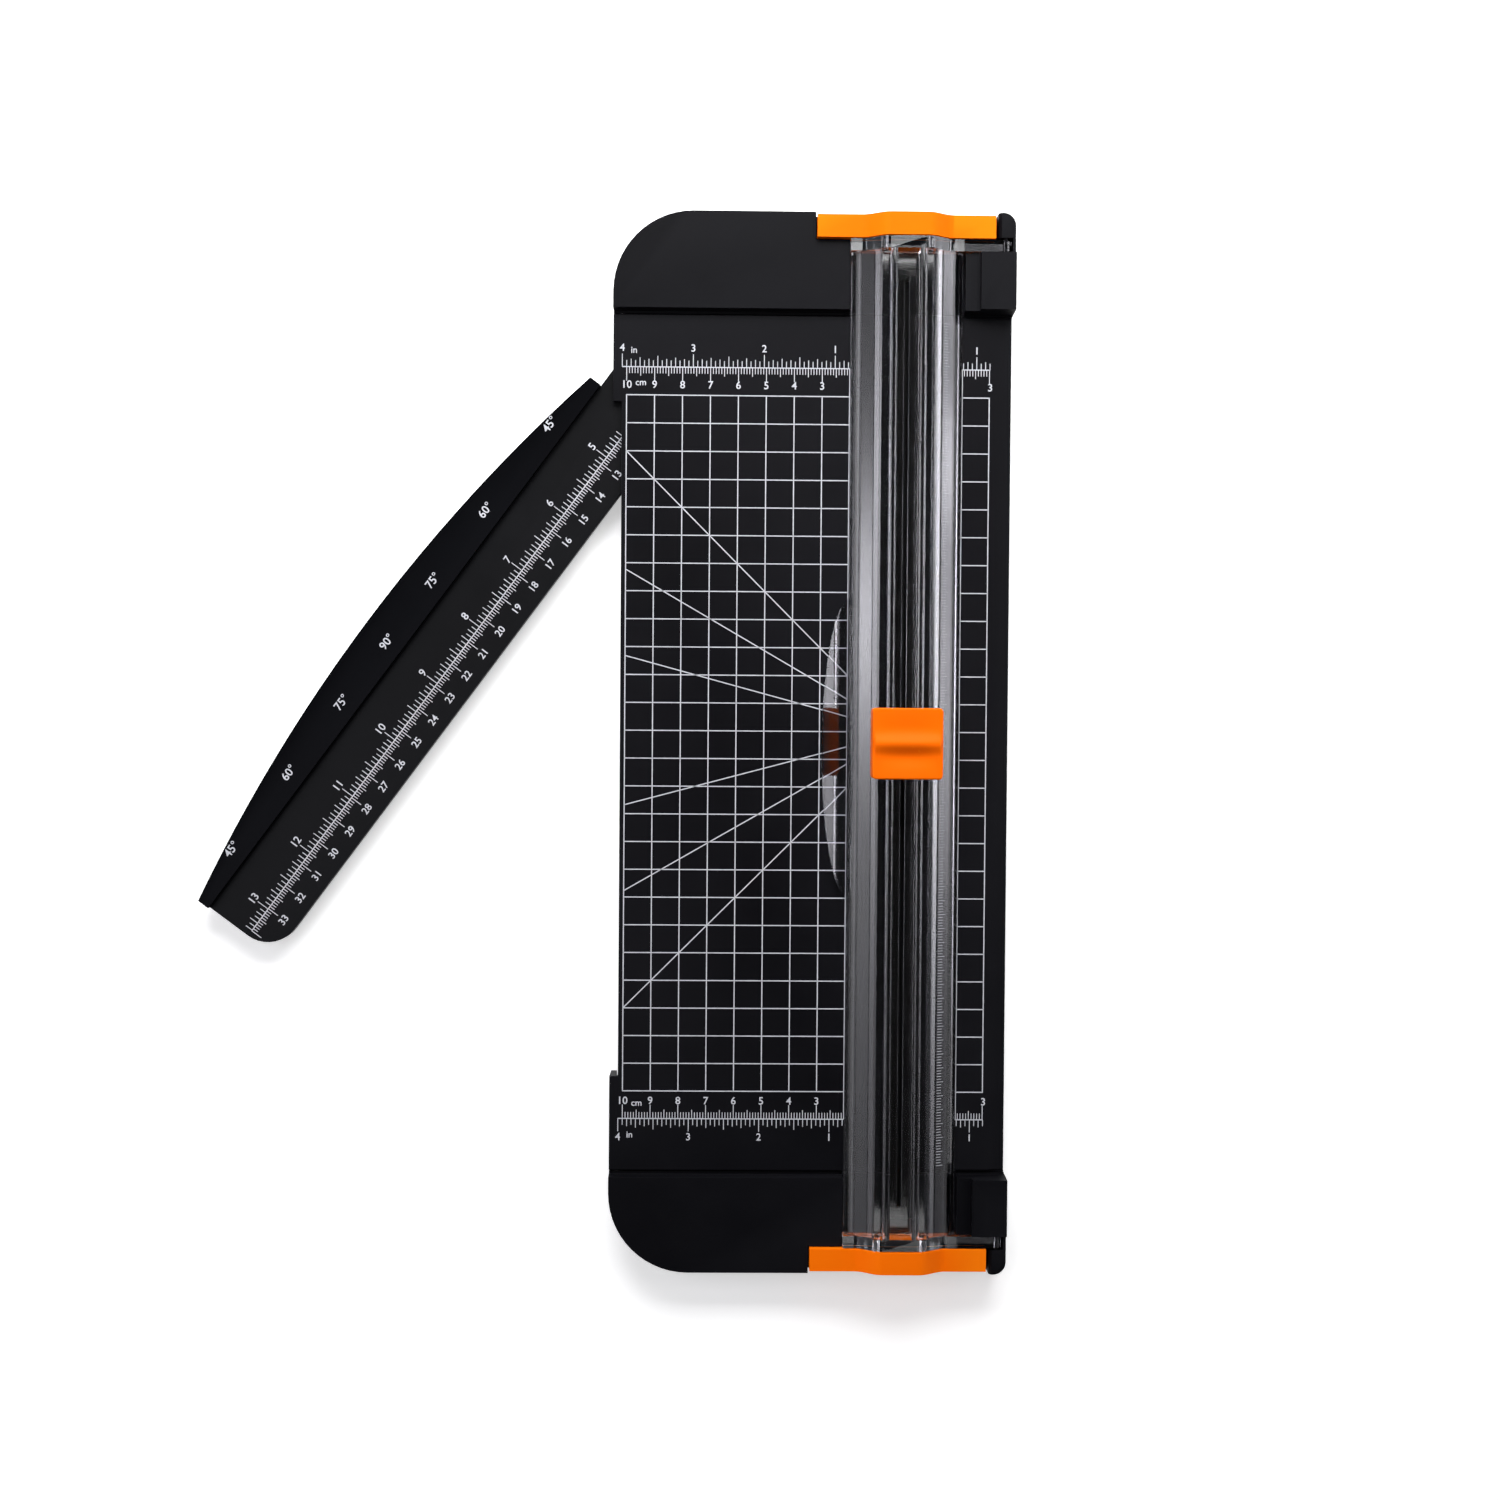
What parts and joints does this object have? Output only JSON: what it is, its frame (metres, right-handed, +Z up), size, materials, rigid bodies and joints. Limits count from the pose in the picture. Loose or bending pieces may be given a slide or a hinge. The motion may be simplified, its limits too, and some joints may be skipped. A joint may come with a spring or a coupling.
{
  "type": "paper trimmer",
  "caption": "A4 sliding-cutter paper trimmer: black base with printed grid, lifting clear rail with orange end caps, orange cutter cartridge and swing-out ruler arm.",
  "frame": {"origin": "centre of the base on the desk, the underside plate's middle less its foot height", "axes": "+Y along the cutting line to the head end, +X to the hinge side, +Z up"},
  "size_m": [0.2909, 0.38, 0.0324],
  "materials": {
    "base_black": "fine moulded grain, satin",
    "strip_black": "soft cutting plastic, matte",
    "arm_black": "fine moulded grain, satin",
    "rail_clear": "clear moulded plastic, polished",
    "cap_orange": "moulded orange, semi-gloss",
    "button_orange": "moulded orange, semi-gloss",
    "inner_grey": "moulded, matte",
    "foot_rubber": "matte rubber",
    "blade_steel": "ground steel",
    "spring_steel": "drawn wire",
    "hardware_steel": "zinc plated",
    "black_steel": "blackened",
    "print_ink": "pad-printed white ink"
  },
  "bodies": {
    "base": {"base_platform": "base_black", "head_end_block": "base_black", "foot_end_block": "base_black", "base_bottom_cover": "base_black", "cutting_strip": "strip_black", "foot_pad_1": "foot_rubber", "foot_pad_2": "foot_rubber", "foot_pad_3": "foot_rubber", "foot_pad_4": "foot_rubber", "foot_pad_5": "foot_rubber", "foot_pad_6": "foot_rubber", "case_screw_1": "hardware_steel", "case_screw_2": "hardware_steel", "case_screw_3": "hardware_steel", "case_screw_4": "hardware_steel", "case_screw_5": "hardware_steel", "case_screw_6": "hardware_steel", "case_screw_7": "hardware_steel", "case_screw_8": "hardware_steel", "hinge_pin_head": "black_steel", "hinge_pin_foot": "black_steel", "arm_pivot_screw": "hardware_steel", "arm_pivot_bush": "hardware_steel", "arm_pivot_washer": "hardware_steel"},
    "ruler": {"ruler_arm": "arm_black"},
    "rail": {"clear_rail": "rail_clear", "head_end_cap": "cap_orange", "foot_end_cap": "cap_orange", "cap_screw_head_1": "black_steel", "cap_screw_head_2": "black_steel", "cap_screw_foot_1": "black_steel", "cap_screw_foot_2": "black_steel"},
    "carriage": {"carriage_shoe": "inner_grey", "return_spring_left": "spring_steel", "return_spring_right": "spring_steel"},
    "button": {"press_button": "button_orange", "blade_holder": "inner_grey", "blade_axle": "hardware_steel"},
    "blade": {"cutter_blade": "blade_steel", "blade_bush_left": "inner_grey", "blade_bush_right": "inner_grey"}
  },
  "joints": [
    {"name": "ruler_swing", "type": "hinge", "parent": "base", "child": "ruler", "pos_m": [-0.06, 0.135, 0.0077], "axis": [0, 0, -1], "range_deg": [-36.5, 53.5]},
    {"name": "rail_lift", "type": "hinge", "parent": "base", "child": "rail", "pos_m": [0.0676, 0, 0.0142], "axis": [0, 1, 0], "range_deg": [0, 80]},
    {"name": "carriage_slide", "type": "slide", "parent": "rail", "child": "carriage", "axis": [0, 1, 0], "range_m": [-0.1561, 0.1539]},
    {"name": "button_press", "type": "slide", "parent": "carriage", "child": "button", "axis": [0, 0, -1], "range_m": [0, 0.0016], "stiffness_N_per_m": 500, "springref_m": -0.002, "deforming": ["return_spring_left", "return_spring_right"]},
    {"name": "blade_spin", "type": "hinge", "parent": "button", "child": "blade", "pos_m": [0.0325, 0.0011, 0.0194], "axis": [1, 0, 0], "continuous": true}
  ]
}
